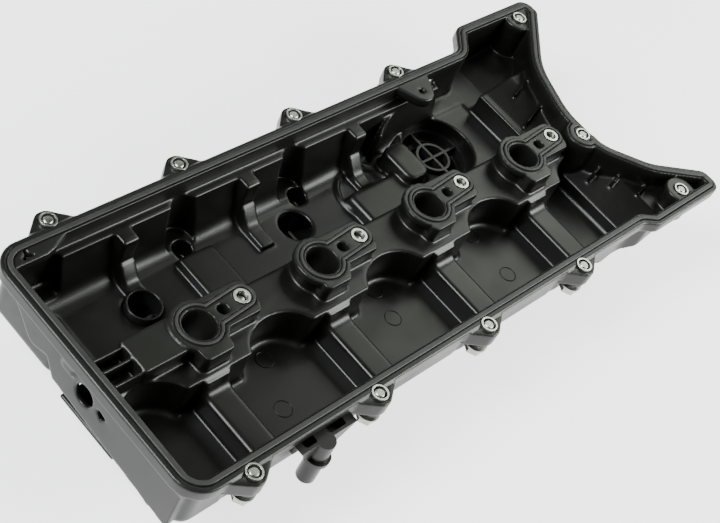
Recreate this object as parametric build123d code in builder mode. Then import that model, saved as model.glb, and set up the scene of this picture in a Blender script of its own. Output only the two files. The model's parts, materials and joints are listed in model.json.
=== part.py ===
"""Moulded camshaft cover of a four-cylinder bank, lying on its crown with the open gasket side up.

Frame: millimetres, origin at the middle of the spark plug row on the plastic sealing face,
+X along the row to the timing chain end, +Y across to the oil separator side, +Z out of the open side.
"""

import math
import os

from build123d import *

os.makedirs("parts", exist_ok=True)

# ---------------------------------------------------------------- driving dimensions
PITCH = 98.0  # spark plug spacing
WELL_X = [(i - 1.5) * PITCH for i in range(4)]
WELL_R = 10.3  # plug well bore
TUBE_R = 13.5  # outside of the plug tube on the crown side
TOWER_R = 16.0  # plug tower on the open side
WALL = 3.0  # moulding thickness
RIM_T, RIM_W = 9.0, 8.5  # rim thickness and width
X_LEFT, X_RIGHT = -222.0, 275.0
Y_LOW, Y_HIGH = -86.0, 95.0
HORN_LOW, HORN_HIGH = -93.0, 113.0
REST_Z = -70.0  # lowest plane, on which the cover rests
SPINE_Z = -13.0  # bridge between the plug towers
SPINE_LOW, SPINE_HIGH = -25.0, 15.0
SPINE_END = 192.0
BAY_LOW = -77.5  # inner faces of the side walls
BAY_HIGH = 80.5
LOW_DEPTH, HIGH_DEPTH, END_DEPTH = 40.0, 46.0, 38.0
LOBE_A, LOBE_B, LOBE_Y = 25.0, 20.0, -30.0  # cam lobe pockets: half axes and centre line
LOBE_X = [w + PITCH / 2 for w in [WELL_X[0] - PITCH] + WELL_X]
LOBE_CORNER, LOW_CORNER, LOW_BAY_END = 3.0, 7.0, 196.0
INNER_ROOT_R, OUTER_ROOT_R = 4.5, 6.0  # floor fillets of the low bay, inside and outside
SHELF_X = 184.0  # where the separator side floor steps up to the chain end

GASKET_TOP, GASKET_SEAT, WELL_SEAT = 1.0, -2.0, -1.5
SEAL_INSET, SEAL_W = 3.8, 3.2  # rim seal: from the outer edge, and its width
PLATE_T = 5.0  # keyhole plates around the plug wells
SLEEVE_R, RIM_SLEEVE_BORE, WELL_SLEEVE_BORE, SLEEVE_TOP = 5.3, 4.2, 3.6, 0.4
LUG_TOP, LUG_T, LUG_R = -1.5, 11.5, 8.0
BOLT_R, BOLT_FLOAT = 3.0, 3.0
RIM_BOLT_TIP, WELL_BOLT_TIP = 0.2, -3.0
ISOLATOR_R, ISOLATOR_T = 6.8, 3.0
HIGH_LUGS = [(-178.0, 99.0), (-81.0, 99.0), (16.5, 99.0), (115.0, 99.0)]
LOW_LUGS = [(-182.0, -88.0), (-84.0, -88.0), (14.5, -88.0), (113.0, -88.0)]
END_BOLTS = [(254.0, 99.5), (208.0, -7.0), (241.0, -79.0)]
END_BOSSES = [(11.5, -1.0, -34.0), (13.0, 0.0, -30.0), (11.5, -0.5, -22.0)]  # radius, top, bottom
WELL_BOLTS = [(x + 35.0, 3.4) for x in WELL_X]
VENT_X, VENT_Y, VENT_R = 19.2, 1.9, 3.6  # small hole beside each plug well

FILLER = (133.0, 51.0)  # oil filler centre
FILLER_R, NECK_R, NECK_BORE = 27.0, 24.0, 20.0
VALVE = (60.0, 46.0)  # crankcase pressure regulator centre
VALVE_R = 24.0
PORT = (-127.0, -18.5)  # breather pipe on the low side wall: x and z
DRAIN = (-138.0, 45.0)  # separator drain tube
PILLARS = [-160.0, 0.0, 150.0]
PILLAR_Y = -52.0

OUTLINE = [
    ((X_LEFT, Y_HIGH), 18),
    ((178, Y_HIGH), 10),
    ((194, HORN_HIGH), 12),
    ((X_RIGHT, HORN_HIGH), 9),
    ((X_RIGHT, 98), 5),
    ((231, 54), 60),
    ((215, 13), 60),
    ((215, -20), 30),
    ((238, -51), 40),
    ((X_RIGHT, -76), 8),
    ((X_RIGHT, HORN_LOW), 8),
    ((197, HORN_LOW), 9),
    ((186, Y_LOW), 9),
    ((X_LEFT, Y_LOW), 18),
]


# ---------------------------------------------------------------- plain shapes
def outline(inset):
    """The rim's plan outline, moved inwards."""
    with BuildSketch() as plan:
        with BuildLine():
            FilletPolyline(*[p for p, _ in OUTLINE], radius=[r for _, r in OUTLINE], close=True)
        make_face()
        if inset:
            offset(amount=-inset, kind=Kind.ARC)
    return plan.sketch


def prism(sketch, z_low, z_high):
    """A flat sketch standing from one height to another."""
    with BuildPart() as body:
        with BuildSketch(Plane.XY.offset(z_low)):
            add(sketch)
        extrude(amount=z_high - z_low)
    return body.part


def slab(x, y, z, corner=0.0, edge=0.0):
    """A block between pairs of x, y and z, with rounded upright corners and rounded top edges."""
    with BuildPart() as body:
        with BuildSketch(Plane.XY.offset(z[0])):
            with Locations(((x[0] + x[1]) / 2, (y[0] + y[1]) / 2)):
                if corner:
                    RectangleRounded(x[1] - x[0], y[1] - y[0], corner)
                else:
                    Rectangle(x[1] - x[0], y[1] - y[0])
        extrude(amount=z[1] - z[0])
        if edge:
            fillet(body.faces().sort_by(Axis.Z)[-1].edges(), edge)
    return body.part


def tube(centre, r_out, r_in, z):
    """An upright tube, or a solid post when r_in is zero."""
    with BuildPart() as body:
        with BuildSketch(Plane.XY.offset(z[0])):
            with Locations(centre):
                Circle(r_out)
                if r_in:
                    Circle(r_in, mode=Mode.SUBTRACT)
        extrude(amount=z[1] - z[0])
    return body.part


def section_yz(points, radii, grow, x):
    """A section across the cover, rounded at its corners, run along X."""
    with BuildPart() as body:
        with BuildSketch(Plane.YZ.offset(x[0])):
            with BuildLine():
                FilletPolyline(*points, radius=radii, close=True)
            make_face()
            if grow:
                offset(amount=grow, kind=Kind.ARC)
        extrude(amount=x[1] - x[0])
    return body.part


def section_xz(points, radii, grow, y):
    """A section along the cover, rounded at its corners, run along Y."""
    with BuildPart() as body:
        with BuildSketch(Plane.XZ.offset(-y[1])):
            with BuildLine():
                FilletPolyline(*points, radius=radii, close=True)
            make_face()
            if grow:
                offset(amount=grow, kind=Kind.ARC)
        extrude(amount=y[1] - y[0])
    return body.part


def rib(start, end, thickness, z):
    """A thin upright web between two plan points."""
    length = math.dist(start, end)
    angle = math.degrees(math.atan2(end[1] - start[1], end[0] - start[0]))
    with BuildPart() as body:
        with BuildSketch(Plane.XY.offset(z[0])):
            with Locations(((start[0] + end[0]) / 2, (start[1] + end[1]) / 2)):
                Rectangle(length, thickness, rotation=angle)
        extrude(amount=z[1] - z[0])
    return body.part


# ---------------------------------------------------------------- hollows of the cover
TOP = 2.0  # how far the hollows run past the open face


def low_bay():
    """The low side bay with its cam lobe pockets."""
    x0, x1 = X_LEFT + RIM_W, LOW_BAY_END
    with BuildPart() as bay:
        with BuildSketch(Plane.XY.offset(-LOW_DEPTH)) as plan:
            with Locations(((x0 + x1) / 2, (BAY_LOW + SPINE_LOW) / 2)):
                Rectangle(x1 - x0, SPINE_LOW - BAY_LOW)
            with Locations(*[(x, LOBE_Y) for x in LOBE_X]):
                Ellipse(LOBE_A, LOBE_B)
            with Locations(((x0 + x1) / 2, 0)):
                Rectangle(x1 - x0, 300, mode=Mode.INTERSECT)
            fillet(plan.vertices().group_by(Axis.Y)[0], LOW_CORNER)
            fillet(plan.vertices().group_by(Axis.Y)[1:], LOBE_CORNER)
        extrude(amount=LOW_DEPTH + TOP)
        fillet(bay.faces().sort_by(Axis.Z)[0].edges(), INNER_ROOT_R)
    return bay.part


def low_bay_outside():
    """The outside of the low side bay: a long box, and a half oval behind each cam lobe pocket."""
    x0, x1 = X_LEFT + RIM_W - WALL, LOW_BAY_END + WALL
    y0, y1 = BAY_LOW - WALL, SPINE_LOW + WALL
    height, step = LOW_DEPTH + WALL - RIM_T / 2, 0.02
    with BuildPart() as box:
        with BuildSketch(Plane.XY.offset(-LOW_DEPTH - WALL)) as plan:
            with Locations(((x0 + x1) / 2, (y0 + y1) / 2)):
                Rectangle(x1 - x0, y1 - y0)
            fillet(plan.vertices().group_by(Axis.Y)[0], LOW_CORNER + WALL)
        extrude(amount=height)
        fillet(box.faces().sort_by(Axis.Z)[0].edges(), OUTER_ROOT_R)
    shapes = [box.part]
    for x in LOBE_X:
        with BuildPart() as oval:
            with BuildSketch(Plane.XY.offset(-LOW_DEPTH - WALL + step)):
                with Locations((x, LOBE_Y)):
                    Ellipse(LOBE_A + WALL, LOBE_B + WALL)
                with Locations(((x0 + x1) / 2, 0)):
                    Rectangle(x1 - x0 - step, 300, mode=Mode.INTERSECT)
            extrude(amount=height - step)
            fillet(oval.faces().sort_by(Axis.Z)[0].edges(), OUTER_ROOT_R - 0.5)
        shapes.append(oval.part)
    return shapes


def high_bay(grow):
    """The separator side bay: a drafted side wall with a wide root, stepping up at the chain end."""
    top = TOP if not grow else -RIM_T / 2
    across = [(SPINE_HIGH, top), (SPINE_HIGH, -HIGH_DEPTH), (72, -HIGH_DEPTH)]
    across += [(BAY_HIGH, -15), (BAY_HIGH, top)]
    past, below = 20, -HIGH_DEPTH - 0.2
    along = [
        (X_LEFT + RIM_W, past),
        (X_LEFT + RIM_W, -12),
        (-188, below),
        (98, below),
        (112, -END_DEPTH),
        (SHELF_X, -END_DEPTH),
        (SHELF_X, past),
    ]
    with BuildPart() as bay:
        add(section_yz(across, [0, 5, 13, 4, 0], grow, (-240, 240)))
        add(section_xz(along, [0, 8, 12, 5, 5, 3, 0], grow, (-120, 120)), mode=Mode.INTERSECT)
    return bay.part


def end_bay(grow, x, y, floor):
    """A hollow at the chain end: the rim's inner outline inside a box, over a floor profile."""
    with BuildPart() as bay:
        with BuildSketch(Plane.XY.offset(-80)) as plan:
            add(outline(RIM_W))
            with Locations(((x[0] + x[1]) / 2, (y[0] + y[1]) / 2)):
                Rectangle(x[1] - x[0], y[1] - y[0], mode=Mode.INTERSECT)
            if grow:
                offset(amount=grow, kind=Kind.ARC)
        extrude(amount=80 + (TOP if not grow else -RIM_T / 2))
        top = 20
        profile = [(x[0] - 20, top), (x[0] - 20, floor[0][1])] + floor + [(300, floor[-1][1]), (300, top)]
        radii = [0, 0] + [4] * len(floor) + [0, 0]
        add(section_xz(profile, radii, grow, (-130, 130)), mode=Mode.INTERSECT)
    return bay.part


LOW_END_FLOOR = [(176, -LOW_DEPTH), (222, -16), (250, -14)]
SHELF_FLOOR = [(190, -21), (214, -14), (240, -13)]
HORN_FLOOR = [(205, -37), (238, -30)]


def hollows(grow):
    """Every hollow on the open side, or their outsides when grown by the wall."""
    return [
        *(low_bay_outside() if grow else [low_bay()]),
        high_bay(grow),
        end_bay(grow, (172, 280), (-100, -24), LOW_END_FLOOR),
        end_bay(grow, (SPINE_END + 1, 280), (-26, 2), LOW_END_FLOOR),
        end_bay(grow, (SHELF_X - 1, 280), (0, 70), SHELF_FLOOR),
        end_bay(grow, (150, 280), (66, 120), HORN_FLOOR),
    ]


# ---------------------------------------------------------------- features of the cover
def keyhole(x, grow=0.0):
    """The loop that the plug well seal follows: round the well and out to its bolt."""
    with BuildSketch() as plan:
        with Locations((x + 12, 1.3), (x + 35, 3.4)):
            Circle(7.2)
        make_hull()
        with Locations((x, 0)):
            Circle(13.4)
        if grow:
            offset(amount=grow, kind=Kind.ARC)
    return plan.sketch


def keyhole_plate(x, tab):
    """The flat plate that carries a plug well seal, with its tab towards the low side."""
    with BuildSketch() as plan:
        with BuildLine():
            Polyline((x, -9.5), (x + 40, -9.5), (x + 45, 3), (x + 40, 14.5), (x, 14.5), close=True)
        make_face()
        fillet(plan.vertices().group_by(Axis.X)[1:], 3)
        with Locations((x, 0)):
            Circle(18)
        with Locations((x - 1, -tab / 2)):
            RectangleRounded(22, tab, 4)
    return plan.sketch


def seal_loop(inset):
    """The loop of the rim seal, passing inside the chain end's middle bolt."""
    with BuildSketch() as plan:
        add(outline(inset))
        with Locations(END_BOLTS[1]):
            Circle(7.4 + inset - SEAL_INSET, mode=Mode.SUBTRACT)
    return plan.sketch


def plateau(x):
    """The raised land under each cam bearing on the low side, curving up into the spine."""
    foot, land_z, back = -LOW_DEPTH - 1, -24, -20
    points = [(BAY_LOW - 1, foot), (BAY_LOW - 1, land_z), (-28, land_z)]
    points += [(-28, -15), (back, -15), (back, foot)]
    with BuildPart() as land:
        add(section_yz(points, [0, 0, 7, 0, 0, 0], 0, (x - 13, x + 7)))
        fillet(land.edges().filter_by(Axis.Y).group_by(Axis.Z)[-2], 2.5)
    return land.part


def bearing_block(x):
    """A buttress on the separator side wall, beside each plug tower."""
    points = [(71, -HIGH_DEPTH - 1), (71, SPINE_Z), (82, SPINE_Z), (82, -16), (74, -HIGH_DEPTH - 1)]
    with BuildPart() as block:
        add(section_yz(points, [0, 2.5, 0, 0, 0], 0, (x + 1.5, x + 13)))
        saddle = [(44, -HIGH_DEPTH - 1), (44, -42), (60, -42), (70, -30), (77, -30), (74, -HIGH_DEPTH - 1)]
        add(section_yz(saddle, [0, 0, 9, 4, 0, 0], 0, (x + 1.5, x + 13)))
    return block.part


def lug(x, y, base):
    """A bolt lug standing out of the rim."""
    with BuildSketch() as plan:
        with Locations((x, y)):
            Circle(LUG_R)
        with Locations((x, base)):
            Rectangle(34, 2)
        make_hull()
    return prism(plan.sketch, LUG_TOP - LUG_T, LUG_TOP)


def end_boss(centre, radius, top, bottom):
    """A bolt boss at the chain end, cut off at the rim's outer side."""
    with BuildSketch() as plan:
        with Locations(centre):
            Circle(radius)
        add(outline(0), mode=Mode.INTERSECT)
    return prism(plan.sketch, bottom, top)


def pillar(x):
    """A cross-ribbed foot on the crown for the engine's trim cover."""
    with BuildPart() as foot:
        add(tube((x, PILLAR_Y), 5, 0, (REST_Z, -LOW_DEPTH - 1)))
        with BuildSketch(Plane.XY.offset(REST_Z)):
            with Locations((x, PILLAR_Y)):
                Rectangle(22, 3)
                Rectangle(3, 22)
        extrude(amount=-REST_Z - LOW_DEPTH - 1)
    return foot.part


# ---------------------------------------------------------------- main moulding
CROSS_RIBS = [  # thin webs between the chain end's floor and its rim
    ((192, 27), (216, 34), -30, -12),
    ((203, 50), (228, 58), -30, -12),
    ((204, -31), (216, -29), -34, -13),
    ((212, -44), (228, -41), -34, -13),
    ((221, -61), (238, -58), -30, -13),
]
HOLE_CUPS, CUP_R = [(-88.0, 69.0), (10.5, 68.0)], 9.0
SCALLOPS = [-88.0, 6.0]
MAIN_HOLE, MAIN_HOLE_R = (-6.0, 50.0), 11.5
DRAIN_R, DRAIN_BORE = 11.5, 10.0
COIL_BOSS = -26.0  # from each plug well
TUBE_END, COIL_END = -62.0, -58.0
END_HOLE_Y, END_HOLE_Z, END_HOLE_R = 3.5, -21.0, 7.0
COUNTERBORE = 8.7
NECK_END = -64.0
VALVE_END = -62.0
PORT_BORE = 4.0
PAD_SLOT = (-203.0, 84.0)  # a three-armed slot in the corner pad


def rim():
    """The flat rim with its softened outer edge."""
    with BuildPart() as body:
        add(prism(outline(0), -RIM_T, 0))
        fillet(body.faces().sort_by(Axis.Z)[-1].edges(), 1.0)
    return body.part


def end_wall():
    """The outer end wall, with a foot at the separator side."""
    edge = [(-76, -6), (-76, -43), (-57, -42), (28, -36), (36, -25)]
    edge += [(48, -29), (53, -27), (60, -20), (73, -9), (73, -6)]
    with BuildPart() as body:
        with BuildSketch(Plane.YZ.offset(-219.5)):
            with BuildLine():
                Polyline(*edge, close=True)
            make_face()
        extrude(amount=3.5)
        add(slab((-219.5, -213), (-60, -57), (-43, -8)))
        add(slab((-221.5, -216.5), (14, 24), (-16, -8), 1))
    return body.part


def end_window():
    """A small three-cornered window beside the hole in the end wall."""
    with BuildPart() as cut:
        with BuildSketch(Plane.YZ.offset(-221)):
            with BuildLine():
                Polyline((-6, -19), (-16, -20), (-12, -24.5), close=True)
            make_face()
        extrude(amount=6)
    return cut.part


def corner_pocket(grow):
    """The upright pocket under the corner pad, outside the high bay's sloping end."""
    x, y = (X_LEFT + RIM_W - grow, -179 + grow), (33 - grow, Y_HIGH - RIM_W - 0.5 + grow)
    with BuildPart() as pocket:
        add(slab(x, y, (-40 - grow, TOP - 6 if grow else TOP), 5 + grow))
        fillet(pocket.faces().sort_by(Axis.Z)[0].edges(), 4 + grow / 2)
    return pocket.part


def curved_rib():
    """The curved splash rib beside the oil filler."""
    with BuildSketch() as plan:
        with BuildLine():
            ThreePointArc((79, 68), (100, 79), (126, 82))
        trace(line_width=2.4)
    return prism(plan.sketch, -HIGH_DEPTH, -18)


def outer_shapes():
    """What the mould's outer half gives, before the open side is hollowed."""
    x_wall = X_LEFT + RIM_W - WALL
    shapes = [rim(), *hollows(WALL)]
    shapes.append(slab((x_wall, SPINE_END), (SPINE_LOW - 4, SPINE_HIGH + 4), (SPINE_Z - WALL, -5)))
    shapes.append(slab((x_wall, 128), (BAY_HIGH - 1.5, 90), (SPINE_Z - 4, -5)))
    shapes.append(corner_pocket(WALL))
    shapes += [tube((x, 75), 11 + WALL, 0, (-44 - WALL, -8)) for x in SCALLOPS]
    shapes += [tube(centre, CUP_R, 0, (-60, -38)) for centre in HOLE_CUPS]
    shapes.append(tube(FILLER, FILLER_R + WALL, 0, (-57, -END_DEPTH)))
    return shapes


def inner_cuts():
    """What the mould's inner half takes away on the open side."""
    cuts = [prism(outline(RIM_W), SPINE_Z, TOP), corner_pocket(0), *hollows(0)]
    cuts += [tube((x, 75), 11, 0, (-44, TOP - 14)) for x in SCALLOPS]
    cuts.append(tube(FILLER, FILLER_R, 0, (-54, -END_DEPTH + 1)))
    return cuts


def tower(x, tab):
    """A plug tower with its keyhole plate, bolt arm, plug tube and coil boss."""
    return [
        tube((x, 0), TOWER_R, 0, (SPINE_Z - WALL, -1)),
        prism(keyhole_plate(x, tab), -PLATE_T, 0),
        slab((x, x + 42), (-8.5, 13.5), (SPINE_Z - WALL, -1), 3),
        slab((x - 12, x + 10), (-tab, 0), (SPINE_Z - WALL, -1), 4),
        tube((x, 0), TUBE_R, 0, (TUBE_END, SPINE_Z - 1)),
        tube((x + COIL_BOSS, 0), 6.5, 0, (COIL_END, SPINE_Z - 1)),
    ]


def bay_shapes():
    """Lands, buttresses, pads and ribs that stand in the bays."""
    shapes = [bearing_block(x + 5) for x in WELL_X[:3]]
    shapes += [plateau(x) for x in WELL_X]
    shapes.append(slab((-99, -71), (14, 62), (-47, -40), 2, 1.5))
    shapes.append(slab((38, 91), (14, 50), (-47, -38), 5, 3.5))
    shapes.append(slab((84, 105), (34, 66), (-47, -31), 7, 2.5))
    shapes.append(curved_rib())
    shapes.append(slab((-193, -160), (-10, 14), (SPINE_Z - 1, -1), 1.5, 1))
    shapes += [slab((-215, -192), (y - 0.9, y + 0.9), (SPINE_Z - 1, -2)) for y in (10.5, 2, -8)]
    shapes += [rib(start, end, 1.4, (low, high)) for start, end, low, high in CROSS_RIBS]
    return shapes


def corner_pad():
    """The wider land in the rim's corner."""
    with BuildSketch() as plan:
        with BuildLine():
            Polyline((-216, 90), (-216, 79), (-192, 79), (-185, 81), (-170, 89), (-170, 92), close=True)
        make_face()
    return prism(plan.sketch, -6, -0.01)


def inner_tab():
    """The tab with a small hole that stands in from the rim."""
    with BuildSketch() as plan:
        with Locations((120, 77)):
            Circle(9.5)
        with Locations((120, 88)):
            Rectangle(32, 2)
        make_hull()
    return prism(plan.sketch, -7, -0.01)


def rim_shapes():
    """Lugs, bosses and pads of the rim."""
    shapes = [corner_pad(), inner_tab()]
    shapes += [lug(x, y, Y_HIGH - 1.5) for x, y in HIGH_LUGS]
    shapes += [lug(x, y, Y_LOW + 1.5) for x, y in LOW_LUGS]
    shapes += [end_boss(centre, *boss) for centre, boss in zip(END_BOLTS, END_BOSSES)]
    return shapes


def crown_shapes():
    """What stands on the crown side."""
    shapes = [end_wall(), *[pillar(x) for x in PILLARS]]
    shapes.append(slab((-218, -172), (-28, 20), (-45, -42)))
    shapes.append(tube(FILLER, NECK_R, 0, (NECK_END, -55)))
    shapes.append(tube(VALVE, VALVE_R, 21.5, (VALVE_END, -44)))
    shapes.append(tube(VALVE, 5.5, 0, (-55, -44)))
    return shapes


def cross_hole(plane, centre, radius, length):
    """A hole through a side wall."""
    with BuildPart() as cut:
        with BuildSketch(plane):
            with Locations(centre):
                Circle(radius)
        extrude(amount=length)
    return cut.part


def holes():
    """Every round hole of the moulding."""
    cuts = [tube((x, 0), WELL_R, 0, (TUBE_END - 1, TOP)) for x in WELL_X]
    cuts += [tube((x + VENT_X, VENT_Y), VENT_R, 0, (-11, TOP)) for x in WELL_X]
    cuts += [tube((x + COIL_BOSS, 0), 4, 0, (COIL_END - 1, -46)) for x in WELL_X]
    for centre in HIGH_LUGS + LOW_LUGS + END_BOLTS + WELL_BOLTS:
        cuts.append(tube(centre, SLEEVE_R, 0, (-14, TOP)))
        cuts.append(tube(centre, COUNTERBORE, 0, (-40, LUG_TOP - LUG_T)))
    cuts += [tube(centre, CUP_R - 2.5, 0, (-57, -36)) for centre in HOLE_CUPS]
    cuts.append(tube(MAIN_HOLE, MAIN_HOLE_R, 0, (-50, -45)))
    cuts.append(tube(DRAIN, DRAIN_R, 0, (-50, -40)))
    cuts.append(tube(FILLER, NECK_BORE, 0, (NECK_END - 1, -50)))
    cuts.append(tube(VALVE, 3.05, 0, (-56, -46)))
    cuts.append(tube((120, 77), 2, 0, (-8, TOP)))
    cuts.append(cross_hole(Plane.YZ.offset(-230), (END_HOLE_Y, END_HOLE_Z), END_HOLE_R, 16))
    cuts.append(cross_hole(Plane.XZ.offset(75), PORT, PORT_BORE, 8))
    cuts.append(end_window())
    for along, across in ((0, 4), (-3.5, -2), (3.5, -2)):
        cuts.append(rib(PAD_SLOT, (PAD_SLOT[0] + along, PAD_SLOT[1] + across), 1.8, (-4.5, TOP)))
    return cuts


def seal_seats():
    """The grooves that hold the rim seal and the plug well seals."""
    with BuildSketch() as rim_groove:
        add(seal_loop(SEAL_INSET - 0.2))
        add(seal_loop(SEAL_INSET + SEAL_W + 0.2), mode=Mode.SUBTRACT)
    cuts = [prism(rim_groove.sketch, GASKET_SEAT, TOP)]
    for x in WELL_X:
        with BuildSketch() as well_groove:
            add(keyhole(x, 1.1))
            add(keyhole(x, -1.1), mode=Mode.SUBTRACT)
        cuts.append(prism(well_groove.sketch, WELL_SEAT, TOP))
    return cuts


with BuildPart() as cover_shell:
    add(outer_shapes())
    add(inner_cuts(), mode=Mode.SUBTRACT)
    add(bay_shapes() + rim_shapes() + crown_shapes())
    for x, tab in zip(WELL_X, (22, 19, 19, 22)):
        add(tower(x, tab))
    add(holes() + seal_seats(), mode=Mode.SUBTRACT)


def write(part, name):
    """Label a finished piece and write its file."""
    part.label = name
    export_step(part, f"parts/{name}.step")


write(cover_shell.part, "cover_shell")

# ---------------------------------------------------------------- seals
with BuildPart() as rim_gasket:
    with BuildSketch(Plane.XY.offset(GASKET_SEAT)) as rim_loop:
        add(seal_loop(SEAL_INSET))
        add(seal_loop(SEAL_INSET + SEAL_W), mode=Mode.SUBTRACT)
    extrude(amount=GASKET_TOP - GASKET_SEAT)
write(rim_gasket.part, "rim_gasket")

for number, x in enumerate(WELL_X, 1):
    with BuildPart() as well_gasket:
        with BuildSketch(Plane.XY.offset(WELL_SEAT)) as well_loop:
            add(keyhole(x, 0.9))
            add(keyhole(x, -0.9), mode=Mode.SUBTRACT)
        extrude(amount=GASKET_TOP - WELL_SEAT)
    write(well_gasket.part, f"well_gasket_{number}")


# ---------------------------------------------------------------- captive bolts
LUG_BOTTOM = LUG_TOP - LUG_T
SLEEVE_END = LUG_BOTTOM - 1.6
ISOLATOR_END = LUG_BOTTOM - ISOLATOR_T
HEAD_TOP = ISOLATOR_END - BOLT_FLOAT
FLANGE_R, FLANGE_T, HEX_AF, HEAD_T = 7.1, 1.5, 11.0, 5.1


def sleeves(centres, bore, name):
    """Steel compression sleeves, one for each bolt."""
    with BuildPart() as group:
        with BuildSketch(Plane.XY.offset(SLEEVE_END)):
            with Locations(*centres):
                Circle(SLEEVE_R)
                Circle(bore, mode=Mode.SUBTRACT)
        extrude(amount=SLEEVE_TOP - SLEEVE_END)
    write(group.part, name)


def isolators(centres, name):
    """Rubber isolators: a ring on the sleeve's end with a lip that holds the bolt."""
    with BuildPart() as group:
        with BuildSketch(Plane.XY.offset(ISOLATOR_END)):
            with Locations(*centres):
                Circle(ISOLATOR_R)
                Circle(BOLT_R + 0.05, mode=Mode.SUBTRACT)
        extrude(amount=ISOLATOR_T)
        with BuildSketch(Plane.XY.offset(SLEEVE_END)):
            with Locations(*centres):
                Circle(SLEEVE_R)
        extrude(amount=LUG_BOTTOM - SLEEVE_END, mode=Mode.SUBTRACT)
        low_edges = group.faces().sort_by(Axis.Z)[: len(centres)].edges()
        fillet(low_edges.filter_by(GeomType.CIRCLE).group_by(SortBy.RADIUS)[-1], 1)
    write(group.part, name)


def bolt(centre, tip, name):
    """A captive flange bolt with a hexagon head, drawn back in its isolator."""
    with BuildPart() as screw:
        with BuildSketch(Plane.XY.offset(HEAD_TOP - FLANGE_T - HEAD_T)):
            with Locations(centre):
                RegularPolygon(HEX_AF / 2, 6, major_radius=False)
        extrude(amount=HEAD_T)
        chamfer(screw.faces().sort_by(Axis.Z)[0].edges(), 0.5)
        with BuildSketch(Plane.XY.offset(HEAD_TOP - FLANGE_T)):
            with Locations(centre):
                Circle(FLANGE_R)
        extrude(amount=FLANGE_T)
        with BuildSketch(Plane.XY.offset(HEAD_TOP)):
            with Locations(centre):
                Circle(BOLT_R)
        extrude(amount=tip - HEAD_TOP)
        chamfer(screw.faces().sort_by(Axis.Z)[-1].edges(), 0.6)
    write(screw.part, name)


sleeves(HIGH_LUGS + LOW_LUGS + END_BOLTS, RIM_SLEEVE_BORE, "rim_sleeves")
sleeves(WELL_BOLTS, WELL_SLEEVE_BORE, "well_sleeves")
isolators(HIGH_LUGS + LOW_LUGS + END_BOLTS, "rim_isolators")
isolators(WELL_BOLTS, "well_isolators")
for side, centres in {"high": HIGH_LUGS, "low": LOW_LUGS, "end": END_BOLTS, "well": WELL_BOLTS}.items():
    tip = WELL_BOLT_TIP if side == "well" else RIM_BOLT_TIP
    for number, centre in enumerate(centres, 1):
        bolt(centre, tip, f"{side}_bolt_{number}")


# ---------------------------------------------------------------- plug coil inserts
with BuildPart() as coil_inserts:
    with BuildSketch(Plane.XY.offset(COIL_END)):
        with Locations(*[(x + COIL_BOSS, 0) for x in WELL_X]):
            Circle(4)
            Circle(2.5, mode=Mode.SUBTRACT)
    extrude(amount=11)
write(coil_inserts.part, "coil_inserts")


# ---------------------------------------------------------------- oil separator
LID_X, LID_Y, LID_TOP, LID_T = (-178.0, 22.0), (22.0, 64.0), -HIGH_DEPTH - WALL, 2.5
LID_FLOOR = REST_Z + LID_T


def lid_plan(inset):
    """The separator lid's outline, which bends round the two blind cups."""
    with BuildSketch() as plan:
        with Locations((sum(LID_X) / 2, sum(LID_Y) / 2)):
            RectangleRounded(LID_X[1] - LID_X[0], LID_Y[1] - LID_Y[0], 6)
        with Locations(*HOLE_CUPS):
            Circle(CUP_R + 0.4, mode=Mode.SUBTRACT)
        fillet(plan.vertices().group_by(Axis.Y)[-1].sort_by(Axis.X)[1:-1], 2)
        if inset:
            offset(amount=-inset, kind=Kind.ARC)
    return plan.sketch


with BuildPart() as separator_lid:
    add(prism(lid_plan(0), REST_Z, LID_TOP))
    fillet(separator_lid.faces().sort_by(Axis.Z)[0].edges(), 1.5)
    add(prism(lid_plan(LID_T), LID_FLOOR, LID_TOP + 1), mode=Mode.SUBTRACT)
write(separator_lid.part, "separator_lid")

with BuildPart() as separator_baffle:
    with BuildSketch(Plane.XY.offset(LID_FLOOR)):
        for number, x in enumerate(range(-150, 0, 24)):
            shift = 3 if number % 2 else -3
            with Locations((x, sum(LID_Y) / 2 + shift)):
                Rectangle(2, 25)
        with Locations((-78, sum(LID_Y) / 2)):
            Rectangle(146, 2)
    extrude(amount=12)
write(separator_baffle.part, "separator_baffle")

with BuildPart() as drain_tube:
    add(tube(DRAIN, DRAIN_R, DRAIN_BORE, (-54.5, -41)))
    fillet(drain_tube.faces().sort_by(Axis.Z)[-1].edges(), 0.6)
write(drain_tube.part, "drain_tube")


# ---------------------------------------------------------------- oil filler
with BuildPart() as filler_screen:
    with BuildSketch(Plane.XY.offset(-53.95)):
        with Locations(FILLER):
            Circle(FILLER_R - 0.1)
            Circle(FILLER_R - 3, mode=Mode.SUBTRACT)
            Circle(13)
            Circle(11, mode=Mode.SUBTRACT)
            Rectangle(2 * FILLER_R - 4, 2)
            Rectangle(2, 2 * FILLER_R - 4)
    extrude(amount=6)
write(filler_screen.part, "filler_screen")

CAP_TOP, CAP_T, CAP_LOW = -65.5, 2.4, -69.4
with BuildPart() as filler_cap:
    add(tube(FILLER, 27, NECK_R + 0.1, (CAP_TOP, -57.5)))
    add(tube(FILLER, 27, 0, (CAP_TOP - CAP_T, CAP_TOP)))
    add(tube(FILLER, NECK_BORE - 0.1, NECK_BORE - 2.5, (CAP_TOP, -58)))
    with BuildSketch(Plane.XY.offset(CAP_LOW)):
        with Locations(FILLER):
            Rectangle(44, 9)
            Circle(11)
    extrude(amount=CAP_TOP - CAP_LOW)
    with BuildSketch(Plane.XY.offset(CAP_TOP)):
        with Locations(FILLER):
            with PolarLocations(27.4, 18):
                Circle(1.1)
    extrude(amount=8, mode=Mode.SUBTRACT)
write(filler_cap.part, "filler_cap")

with BuildPart() as filler_seal:
    add(tube(FILLER, NECK_R - 0.3, NECK_BORE + 0.2, (CAP_TOP, NECK_END - 0.05)))
write(filler_seal.part, "filler_seal")


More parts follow.
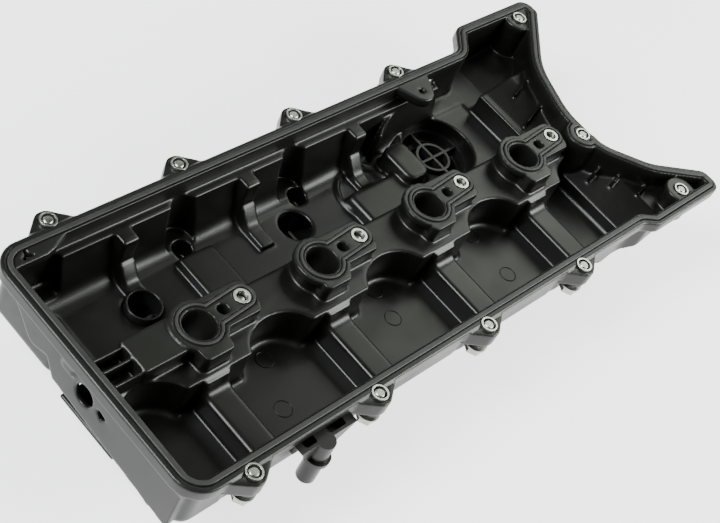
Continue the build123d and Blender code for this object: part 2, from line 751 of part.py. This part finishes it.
# ---------------------------------------------------------------- crankcase pressure regulator
PLATE_LOW, STEM_R = -59.6, 3.0
with BuildPart() as regulator_valve:
    add(tube(VALVE, 12, 0, (PLATE_LOW, PLATE_LOW + 1.5)))
    add(tube(VALVE, STEM_R, 0, (PLATE_LOW + 1.5, -50)))
write(regulator_valve.part, "regulator_valve")

with BuildPart() as regulator_diaphragm:
    add(tube(VALVE, 21.4, 0, (-60.6, -59.6)))
    add(tube(VALVE, 21.4, 19, (-60.6, -58.6)))
write(regulator_diaphragm.part, "regulator_diaphragm")

with BuildPart() as regulator_cap:
    add(tube(VALVE, 26.5, 0, (-65.5, VALVE_END)))
    add(tube(VALVE, 21.4, 18.5, (VALVE_END - 0.5, -60.6)))
    add(tube(VALVE, 26.5, VALVE_R + 0.1, (VALVE_END - 0.5, -56)))
    fillet(regulator_cap.faces().sort_by(Axis.Z)[0].edges(), 1.5)
    add(tube(VALVE, 1.5, 0, (-66, -60)), mode=Mode.SUBTRACT)
write(regulator_cap.part, "regulator_cap")

SPRING_R, SPRING_WIRE, SPRING_LOW, SPRING_HIGH = 8.0, 0.55, -58.1, -49.0
with BuildPart() as regulator_spring:
    coil_low = SPRING_LOW + SPRING_WIRE + 0.02
    coil_height = SPRING_HIGH - SPRING_LOW - 2 * SPRING_WIRE - 0.04
    with BuildLine() as coil_line:
        Helix(pitch=coil_height / 3, height=coil_height, radius=SPRING_R, center=(*VALVE, coil_low))
    with BuildSketch(Plane(origin=coil_line.line @ 0, z_dir=coil_line.line % 0)):
        Circle(SPRING_WIRE)
    sweep()
write(regulator_spring.part, "regulator_spring")


# ---------------------------------------------------------------- breather pipe
FLANGE_FACE, PIPE_FLANGE_T = BAY_LOW - WALL, 3.0
PIPE_Y, PIPE_R, PIPE_END = -92.0, 6.0, -46.0
COLLAR_R, COLLAR_Z = 8.0, (-27.0, -24.0)
BRACKET_Z, POCKET_FLOOR = (-25.0, -9.2), -14.0
with BuildPart() as breather_pipe:
    with BuildSketch(Plane.XZ.offset(-FLANGE_FACE)):
        with Locations(PORT):
            RectangleRounded(26, 18, 4)
    extrude(amount=PIPE_FLANGE_T)
    with BuildSketch(Plane.XZ.offset(-FLANGE_FACE + PIPE_FLANGE_T)):
        with BuildLine():
            Polyline(
                (PORT[0] - 19, BRACKET_Z[1]),
                (PORT[0] + 25, BRACKET_Z[1]),
                (PORT[0] + 8, BRACKET_Z[0]),
                (PORT[0] - 8, BRACKET_Z[0]),
                close=True,
            )
        make_face()
    extrude(amount=FLANGE_FACE - PIPE_FLANGE_T - PIPE_Y)
    for left, right in ((-14, -5), (5, 18)):
        pocket_y = (PIPE_Y + 2, FLANGE_FACE - PIPE_FLANGE_T)
        add(slab((PORT[0] + left, PORT[0] + right), pocket_y, (POCKET_FLOOR, 0), 1.5), mode=Mode.SUBTRACT)
    add(tube((PORT[0], PIPE_Y), PIPE_R, 0, (PIPE_END, BRACKET_Z[1])))
    add(tube((PORT[0], PIPE_Y), COLLAR_R, 0, COLLAR_Z))
    add(tube((PORT[0], PIPE_Y), PORT_BORE, 0, (PIPE_END, PORT[1])), mode=Mode.SUBTRACT)
    with BuildSketch(Plane.XZ.offset(-FLANGE_FACE - 1)):
        with Locations(PORT):
            Circle(PORT_BORE)
    extrude(amount=FLANGE_FACE + 1 - PIPE_Y, mode=Mode.SUBTRACT)
    with BuildSketch(Plane.XZ.offset(-FLANGE_FACE)):
        with Locations(PORT):
            Circle(7.5)
            Circle(5.5, mode=Mode.SUBTRACT)
    extrude(amount=1.2, mode=Mode.SUBTRACT)
write(breather_pipe.part, "breather_pipe")

with BuildPart() as breather_seal:
    with BuildSketch(Plane.XZ.offset(-FLANGE_FACE)):
        with Locations(PORT):
            Circle(7.4)
            Circle(5.6, mode=Mode.SUBTRACT)
    extrude(amount=1.15)
write(breather_seal.part, "breather_seal")
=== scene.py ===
"""Looks of the moulded camshaft cover: materials, soft edges, threads, marks, light, camera."""

import json
import math

import bpy
import numpy as np
from mathutils import Matrix, Vector


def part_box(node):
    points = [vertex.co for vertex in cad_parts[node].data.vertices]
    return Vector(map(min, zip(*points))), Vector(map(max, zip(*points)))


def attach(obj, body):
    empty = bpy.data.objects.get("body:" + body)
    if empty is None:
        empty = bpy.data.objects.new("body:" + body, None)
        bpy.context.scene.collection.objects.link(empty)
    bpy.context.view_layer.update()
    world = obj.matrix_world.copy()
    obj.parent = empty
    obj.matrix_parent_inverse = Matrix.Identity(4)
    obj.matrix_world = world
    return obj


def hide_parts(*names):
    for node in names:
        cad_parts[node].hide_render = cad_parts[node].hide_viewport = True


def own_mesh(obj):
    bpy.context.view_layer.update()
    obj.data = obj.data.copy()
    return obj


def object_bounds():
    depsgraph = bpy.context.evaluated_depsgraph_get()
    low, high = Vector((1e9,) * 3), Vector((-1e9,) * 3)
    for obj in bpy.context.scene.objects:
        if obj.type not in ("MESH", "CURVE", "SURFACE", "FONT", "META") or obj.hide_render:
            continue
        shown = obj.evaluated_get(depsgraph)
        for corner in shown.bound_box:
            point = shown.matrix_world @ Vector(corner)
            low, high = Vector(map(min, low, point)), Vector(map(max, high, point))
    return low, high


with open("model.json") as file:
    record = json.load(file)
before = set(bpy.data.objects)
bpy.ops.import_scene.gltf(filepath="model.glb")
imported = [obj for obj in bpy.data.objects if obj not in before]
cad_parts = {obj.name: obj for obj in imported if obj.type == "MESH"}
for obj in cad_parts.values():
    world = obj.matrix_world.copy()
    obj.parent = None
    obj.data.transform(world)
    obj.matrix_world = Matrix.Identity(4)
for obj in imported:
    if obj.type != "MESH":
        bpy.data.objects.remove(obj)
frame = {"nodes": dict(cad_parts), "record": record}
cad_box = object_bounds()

MM = 0.001
DUST_FROM, DUST_FULL = -6 * MM, -1 * MM  # heights between which the dusty colour comes in
SKIN_DEPTH = 0.02 * MM  # depth of the grain in plastic and of the tool lines in metal
TRIANGLES_PER_QUAD = 2.0
BELOW_ALL = -100 * MM  # lower than the whole object
NODES = frame["nodes"]
BODIES = frame["record"]["behaviour"]["bodies"]
BODY_OF = {node: body for body, members in BODIES.items() for node in members}


# ---------------------------------------------------------------- materials
class Surface:
    """A material being built: a Principled shader and short ways to add nodes."""

    def __init__(self, name):
        self.material = bpy.data.materials.new(name)
        self.material.use_nodes = True
        self.tree = self.material.node_tree
        self.shader = self.tree.nodes["Principled BSDF"]
        self.place = self.tree.nodes.new("ShaderNodeTexCoord").outputs["Object"]

    def link(self, source, target):
        self.tree.links.new(source, target)

    def noise(self, scale, detail=3.0, stretch=(1, 1, 1), distortion=0.0):
        """Noise in the frame's own coordinates, from 0 to 1."""
        mapping = self.tree.nodes.new("ShaderNodeMapping")
        mapping.inputs["Scale"].default_value = stretch
        self.link(self.place, mapping.inputs["Vector"])
        node = self.tree.nodes.new("ShaderNodeTexNoise")
        node.inputs["Scale"].default_value = scale
        node.inputs["Detail"].default_value = detail
        node.inputs["Distortion"].default_value = distortion
        self.link(mapping.outputs["Vector"], node.inputs["Vector"])
        return node.outputs["Fac"]

    def height(self):
        """Height in the frame's own coordinates."""
        split = self.tree.nodes.new("ShaderNodeSeparateXYZ")
        self.link(self.place, split.inputs["Vector"])
        return split.outputs["Z"]

    def ranged(self, value, low, high, start=0.3, end=0.7):
        """A value from start..end spread over low..high."""
        node = self.tree.nodes.new("ShaderNodeMapRange")
        node.inputs["From Min"].default_value = start
        node.inputs["From Max"].default_value = end
        node.inputs["To Min"].default_value = low
        node.inputs["To Max"].default_value = high
        self.link(value, node.inputs["Value"])
        return node.outputs["Result"]

    def maths(self, operation, a, b):
        node = self.tree.nodes.new("ShaderNodeMath")
        node.operation = operation
        for socket, value in zip(node.inputs, (a, b)):
            if isinstance(value, (int, float)):
                socket.default_value = value
            else:
                self.link(value, socket)
        return node.outputs["Value"]

    def mixed(self, factor, a, b):
        """A colour between a and b."""
        node = self.tree.nodes.new("ShaderNodeMix")
        node.data_type = "RGBA"
        self.link(factor, node.inputs["Factor"])
        for socket, value in ((node.inputs["A"], a), (node.inputs["B"], b)):
            if isinstance(value, tuple):
                socket.default_value = (*value, 1)
            else:
                self.link(value, socket)
        return node.outputs["Result"]

    def rounded(self, radius):
        """A normal that rounds the sharp edges."""
        bevel = self.tree.nodes.new("ShaderNodeBevel")
        bevel.samples = 4
        bevel.inputs["Radius"].default_value = radius
        return bevel.outputs["Normal"]

    def edges(self, radius, low=0.02, high=0.25):
        """From 0 on a flat face to 1 on an edge, by how far the rounded normal leans."""
        normal = self.rounded(radius)
        geometry = self.tree.nodes.new("ShaderNodeNewGeometry")
        dot = self.tree.nodes.new("ShaderNodeVectorMath")
        dot.operation = "DOT_PRODUCT"
        self.link(normal, dot.inputs[0])
        self.link(geometry.outputs["Normal"], dot.inputs[1])
        lean = self.maths("SUBTRACT", 1.0, dot.outputs["Value"])
        return self.ranged(lean, 0.0, 1.0, low, high)

    def bump(self, height, strength, distance, normal=None):
        node = self.tree.nodes.new("ShaderNodeBump")
        node.inputs["Strength"].default_value = strength
        node.inputs["Distance"].default_value = distance
        self.link(height, node.inputs["Height"])
        if normal is not None:
            self.link(normal, node.inputs["Normal"])
        return node.outputs["Normal"]

    def finish(self, colour, roughness, normal):
        self.link(colour, self.shader.inputs["Base Color"])
        self.link(roughness, self.shader.inputs["Roughness"])
        self.link(normal, self.shader.inputs["Normal"])
        return self.material


def moulded_plastic(name, dark, light, worn, rough, edge, grain=0.35, dusty=None):
    """Glass-filled nylon: fine grain, faint flow marks, duller patches and paler worn edges.
    dusty is the paler colour of the rubbed faces near the sealing height."""
    s = Surface(name)
    patches = s.noise(26, 4, distortion=0.6)
    flow = s.noise(9, 2, (1, 3.5, 1), 1.5)
    fibres = s.noise(1700, 2, (1, 2.2, 1))
    tone = s.mixed(s.ranged(s.maths("ADD", patches, flow), 0, 1, 0.75, 1.25), dark, light)
    if dusty:
        level = s.ranged(s.height(), 0, 1, DUST_FROM, DUST_FULL)
        dust = s.ranged(s.noise(60, 4), 0.6, 1.0)
        tone = s.mixed(s.maths("MULTIPLY", level, dust), tone, dusty)
    wear = s.maths("MULTIPLY", s.edges(edge), s.ranged(s.noise(160, 3), 0.15, 0.75))
    colour = s.mixed(wear, tone, worn)
    duller = s.ranged(patches, rough - 0.04, rough + 0.06)
    roughness = s.maths("ADD", duller, s.ranged(fibres, -0.03, 0.03))
    normal = s.bump(fibres, grain, SKIN_DEPTH, s.rounded(edge))
    s.shader.inputs["IOR"].default_value = 1.53
    s.shader.inputs["Specular IOR Level"].default_value = 0.23
    return s.finish(colour, roughness, normal)


def moulded_rubber(name, dark, light, rough):
    """Black rubber: very matt, with a dusty bloom in patches."""
    s = Surface(name)
    bloom = s.noise(55, 4)
    skin = s.noise(900, 3)
    colour = s.mixed(s.ranged(bloom, 0, 1), dark, light)
    roughness = s.ranged(skin, rough - 0.06, rough + 0.06)
    normal = s.bump(skin, 0.3, 0.03 * MM, s.rounded(0.3 * MM))
    s.shader.inputs["IOR"].default_value = 1.45
    return s.finish(colour, roughness, normal)


def turned_metal(name, dark, light, rough, stretch, edge=0.25 * MM):
    """Plated or drawn metal: tool lines, cloudy plating and brighter rubbed edges."""
    s = Surface(name)
    clouds = s.noise(140, 4)
    lines = s.noise(900, 2, stretch)
    tone = s.mixed(s.ranged(clouds, 0, 1), dark, light)
    bright = tuple(min(1.0, channel * 1.25) for channel in light)
    colour = s.mixed(s.maths("MULTIPLY", s.edges(edge), 0.7), tone, bright)
    cloudy = s.ranged(clouds, rough, rough + 0.12)
    roughness = s.maths("ADD", cloudy, s.ranged(lines, -0.04, 0.04))
    normal = s.bump(lines, 0.25, SKIN_DEPTH, s.rounded(edge))
    s.shader.inputs["Metallic"].default_value = 1.0
    return s.finish(colour, roughness, normal)


def pale_floor():
    """A pale table top that gives light of its own."""
    s = Surface("pale_floor")
    clouds = s.ranged(s.noise(2, 2), 0, 1)
    colour = s.mixed(clouds, (0.48, 0.48, 0.48), (0.52, 0.52, 0.52))
    fine = s.noise(300, 2)
    s.shader.inputs["Emission Color"].default_value = (1.0, 1.0, 1.0, 1)
    s.shader.inputs["Emission Strength"].default_value = 2.0
    return s.finish(colour, s.ranged(fine, 0.75, 0.9), s.bump(fine, 0.02, 0.05 * MM))


FINISHES = {
    "cover_plastic": moulded_plastic(
        "cover_plastic",
        dark=(0.0021, 0.0021, 0.0017),
        light=(0.0042, 0.0041, 0.0034),
        worn=(0.014, 0.0145, 0.013),
        rough=0.34,
        edge=0.5 * MM,
        dusty=(0.0075, 0.0078, 0.0065),
    ),
    "fitting_plastic": moulded_plastic(
        "fitting_plastic",
        dark=(0.004, 0.004, 0.004),
        light=(0.007, 0.0068, 0.0064),
        worn=(0.02, 0.02, 0.019),
        rough=0.33,
        edge=0.4 * MM,
    ),
    "cap_plastic": moulded_plastic(
        "cap_plastic",
        dark=(0.004, 0.004, 0.0043),
        light=(0.006, 0.006, 0.006),
        worn=(0.02, 0.02, 0.02),
        rough=0.28,
        edge=0.5 * MM,
        grain=0.25,
    ),
    "seal_rubber": moulded_rubber(
        "seal_rubber", dark=(0.008, 0.008, 0.008), light=(0.016, 0.016, 0.015), rough=0.52
    ),
    "inner_rubber": moulded_rubber(
        "inner_rubber", dark=(0.012, 0.012, 0.012), light=(0.02, 0.02, 0.02), rough=0.6
    ),
    "isolator_rubber": moulded_rubber(
        "isolator_rubber", dark=(0.012, 0.012, 0.012), light=(0.022, 0.022, 0.021), rough=0.58
    ),
    "sleeve_steel": turned_metal(
        "sleeve_steel",
        dark=(0.36, 0.37, 0.34),
        light=(0.52, 0.53, 0.49),
        rough=0.28,
        stretch=(1, 1, 9),
    ),
    "bolt_steel": turned_metal(
        "bolt_steel",
        dark=(0.25, 0.26, 0.23),
        light=(0.4, 0.41, 0.37),
        rough=0.32,
        stretch=(1, 1, 7),
    ),
    "spring_steel": turned_metal(
        "spring_steel",
        dark=(0.4, 0.4, 0.42),
        light=(0.55, 0.55, 0.57),
        rough=0.25,
        stretch=(3, 1, 1),
    ),
    "insert_brass": turned_metal(
        "insert_brass",
        dark=(0.48, 0.33, 0.13),
        light=(0.66, 0.48, 0.22),
        rough=0.3,
        stretch=(1, 1, 8),
    ),
}


def cad_slots():
    """Each CAD node's material slot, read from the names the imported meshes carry."""
    found = {}
    for name, node in NODES.items():
        carried = [m.name.split(".")[0] for m in node.data.materials if m]
        found[name] = next((c for c in carried if c in FINISHES), "cover_plastic")
    return found


SLOT_OF = cad_slots()


def dress(piece, body, slot):
    """Ride, slot and finish for an added piece."""
    piece.data.materials.clear()
    piece.data.materials.append(FINISHES[slot])
    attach(piece, body)
    return piece


def shade_smooth(mesh):
    mesh.polygons.foreach_set("use_smooth", np.ones(len(mesh.polygons), bool))
    mesh.update()


def new_piece(name, mesh, body, slot):
    piece = bpy.data.objects.new(name, mesh)
    bpy.context.scene.collection.objects.link(piece)
    return dress(piece, body, slot)


def applied(piece):
    """Turns the piece's modifiers into mesh."""
    bpy.context.view_layer.update()
    evaluated = piece.evaluated_get(bpy.context.evaluated_depsgraph_get())
    mesh = bpy.data.meshes.new_from_object(evaluated)
    old = piece.data
    piece.modifiers.clear()
    piece.data = mesh
    bpy.data.meshes.remove(old)
    return mesh


# ---------------------------------------------------------------- softened mouldings
def softened(node, name, voxel, levels, faces):
    """A copy of a CAD node with moulded, rounded edges, thinned to about the given number of
    triangles. levels gives for each height band, from the top, its lowest z and how many
    smoothing steps it takes."""
    piece = bpy.data.objects.new(name, NODES[node].data.copy())
    bpy.context.scene.collection.objects.link(piece)
    weld = piece.modifiers.new("weld", "WELD")
    weld.merge_threshold = 0.002 * MM
    remesh = piece.modifiers.new("remesh", "REMESH")
    remesh.mode = "VOXEL"
    remesh.voxel_size = voxel
    mesh = applied(piece)
    places = np.zeros(len(mesh.vertices) * 3, np.float32)
    mesh.vertices.foreach_get("co", places)
    height = places[2::3]
    most = max(steps for _, steps in levels)
    group = piece.vertex_groups.new(name="soften")
    top = math.inf
    for low, steps in levels:
        chosen = np.nonzero((height < top) & (height >= low))[0]
        group.add(chosen.tolist(), steps / most, "REPLACE")
        top = low
    smooth = piece.modifiers.new("smooth", "SMOOTH")
    smooth.factor = 0.5
    smooth.iterations = most
    smooth.vertex_group = "soften"
    thin = piece.modifiers.new("thin", "DECIMATE")
    thin.ratio = min(1.0, faces / (TRIANGLES_PER_QUAD * len(mesh.polygons)))
    mesh = applied(piece)
    piece.vertex_groups.clear()
    shade_smooth(mesh)
    dress(piece, BODY_OF[node], SLOT_OF[node])
    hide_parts(node)


def moulding():
    """The cover: crisp at the sealing face, softer down in its bays, crisp again at its feet."""
    voxel = 0.85 * MM
    levels = [(-7 * MM, 3), (-12 * MM, 6), (-64 * MM, 11), (BELOW_ALL, 1)]
    softened("cover_shell", "cover_moulding", voxel, levels, 230000)


def seals():
    """The rim seal and the keyhole seals, with the round top of a moulded bead."""
    levels = [(BELOW_ALL, 5)]
    softened("rim_gasket", "rim_seal", 0.5 * MM, levels, 60000)
    for number in range(1, 5):
        softened(f"well_gasket_{number}", f"well_seal_{number}", 0.32 * MM, levels, 12000)


# ---------------------------------------------------------------- pieces made from points
def swept(path, radii, sides, closed=False):
    """A round tube mesh along a path of points, with a radius for each."""
    points = [Vector(p) for p in path]
    count = len(points)
    vertices, faces = [], []
    for i, point in enumerate(points):
        before = points[i - 1] if i or closed else points[i]
        after = points[(i + 1) % count] if i < count - 1 or closed else points[i]
        along = (after - before).normalized()
        up = Vector((0, 0, 1)) if abs(along.z) < 0.9 else Vector((1, 0, 0))
        side = along.cross(up).normalized()
        up = side.cross(along)
        for k in range(sides):
            turn = 2 * math.pi * k / sides
            vertices.append(point + radii[i] * (math.cos(turn) * side + math.sin(turn) * up))
    rings = count if closed else count - 1
    for i in range(rings):
        j = (i + 1) % count
        for k in range(sides):
            m = (k + 1) % sides
            faces.append((i * sides + k, j * sides + k, j * sides + m, i * sides + m))
    if not closed:
        faces.append(tuple(range(sides)))
        faces.append(tuple(range((count - 1) * sides, count * sides))[::-1])
    return vertices, faces


def joined_mesh(name, shells):
    """One mesh from several lists of points and faces."""
    vertices, faces = [], []
    for points, loops in shells:
        start = len(vertices)
        vertices += points
        faces += [tuple(start + i for i in loop) for loop in loops]
    mesh = bpy.data.meshes.new(name)
    mesh.from_pydata([tuple(v) for v in vertices], [], faces)
    mesh.validate()
    shade_smooth(mesh)
    return mesh


def ring_path(centre, radius, count):
    """Points round a level circle."""
    turns = [2 * math.pi * k / count for k in range(count)]
    return [centre + radius * Vector((math.cos(turn), math.sin(turn), 0)) for turn in turns]


def threads():
    """The rolled thread of each captive bolt: a helix sunk in its shank, thinner at both ends."""
    pitch, ridge, turns, per_turn, sides = 1.0 * MM, 0.2 * MM, 12, 24, 6
    shank, sunk, lead = 3.0 * MM, 0.05 * MM, 0.9 * MM
    thinnest = 0.25
    reach = shank - sunk
    steps = turns * per_turn
    for body in sorted(body for body in BODIES if "_bolt_" in body):
        low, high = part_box(body)
        centre = Vector(((low.x + high.x) / 2, (low.y + high.y) / 2, 0))
        top = high.z - lead
        path, radii = [], []
        for k in range(steps + 1):
            turn = 2 * math.pi * k / per_turn
            taper = min(1.0, k / per_turn, (steps - k) / per_turn)
            z = top - pitch * k / per_turn
            path.append(centre + Vector((reach * math.cos(turn), reach * math.sin(turn), z)))
            radii.append(ridge * (thinnest + (1 - thinnest) * taper))
        mesh = joined_mesh(f"{body}_thread", [swept(path, radii, sides)])
        new_piece(f"{body}_thread", mesh, body, "bolt_steel")


def valve_spring():
    """The regulator's spring, a smooth-shaded copy of its CAD mesh that rides with the cover."""
    mesh = NODES["regulator_spring"].data.copy()
    piece = new_piece("valve_spring", mesh, "cover", "spring_steel")
    shade_smooth(piece.data)
    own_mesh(piece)
    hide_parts("regulator_spring")


def ejector_marks():
    """The faint round marks that ejector pins leave on the low bay's floor."""
    level, radius, bead, count, sides = -40 * MM, 5.6 * MM, 0.35 * MM, 40, 8
    spots = [(97, -18), (97, -54), (-113, -54), (-4, -40), (-100, -22), (0, -18), (-196, -50)]
    rings = []
    for x, y in spots:
        path = ring_path(Vector((x * MM, y * MM, level)), radius, count)
        rings.append(swept(path, [bead] * count, sides, closed=True))
    new_piece("ejector_marks", joined_mesh("ejector_marks", rings), "cover", "cover_plastic")


# ---------------------------------------------------------------- light, floor and camera
def floor():
    """The pale surface under the object's feet."""
    size, level = 6.0, cad_box[0][2]
    mesh = bpy.data.meshes.new("floor")
    signs = [(-1, -1), (1, -1), (1, 1), (-1, 1)]
    mesh.from_pydata([(x * size, y * size, level) for x, y in signs], [], [(0, 1, 2, 3)])
    piece = bpy.data.objects.new("floor", mesh)
    bpy.context.scene.collection.objects.link(piece)
    mesh.materials.append(pale_floor())


def softbox(name, direction, distance, size, radiance, tint=(1, 1, 1)):
    """An area light on a line from the object, facing it, with a given brightness of its face."""
    place = Vector(direction).normalized() * distance
    data = bpy.data.lights.new(name, "AREA")
    data.shape = "RECTANGLE"
    data.size, data.size_y = size
    data.energy = radiance * math.pi * size[0] * size[1]
    data.color = tint
    lamp = bpy.data.objects.new(name, data)
    bpy.context.scene.collection.objects.link(lamp)
    lamp.location = place
    lamp.rotation_euler = (-place).to_track_quat("-Z", "Y").to_euler()


def lights():
    """Three softboxes and a dim, even surround."""
    softbox("box_back_left", (-0.68, 0.29, 0.66), 1.9, (0.7, 1.3), 34, (0.95, 0.98, 1.0))
    softbox("box_front_right", (0.62, -0.66, 0.46), 1.9, (1.3, 0.8), 27, (0.96, 1.0, 0.95))
    softbox("box_far", (0.78, 0.12, 0.62), 2.2, (1.1, 1.1), 5.6, (0.95, 1.0, 0.9))
    world = bpy.data.worlds.new("studio")
    bpy.context.scene.world = world
    world.use_nodes = True
    background = world.node_tree.nodes["Background"]
    background.inputs["Color"].default_value = (0.97, 0.99, 1.0, 1)
    background.inputs["Strength"].default_value = 0.15


def camera():
    """A long lens from the low left corner, looking down at 45 degrees, with a slight roll."""
    place = Vector((-0.60536, -0.27332, 0.64267))
    forward = Vector((0.63966, 0.28940, -0.71209)).normalized()
    up = Vector((0.36370, 0.70219, 0.61209))
    side = forward.cross(up).normalized()
    up = side.cross(forward)
    data = bpy.data.cameras.new("camera")
    data.lens, data.sensor_width = 75.17, 36
    data.clip_start, data.clip_end = 0.02, 60
    eye = bpy.data.objects.new("camera", data)
    bpy.context.scene.collection.objects.link(eye)
    turned = Matrix((side, up, -forward)).transposed().to_4x4()
    eye.matrix_world = Matrix.Translation(place) @ turned
    bpy.context.scene.camera = eye


# ---------------------------------------------------------------- the scene
camera()
lights()
floor()
for name, node in NODES.items():
    node.data.materials.clear()
    node.data.materials.append(FINISHES[SLOT_OF[name]])
moulding()
seals()
threads()
valve_spring()
ejector_marks()
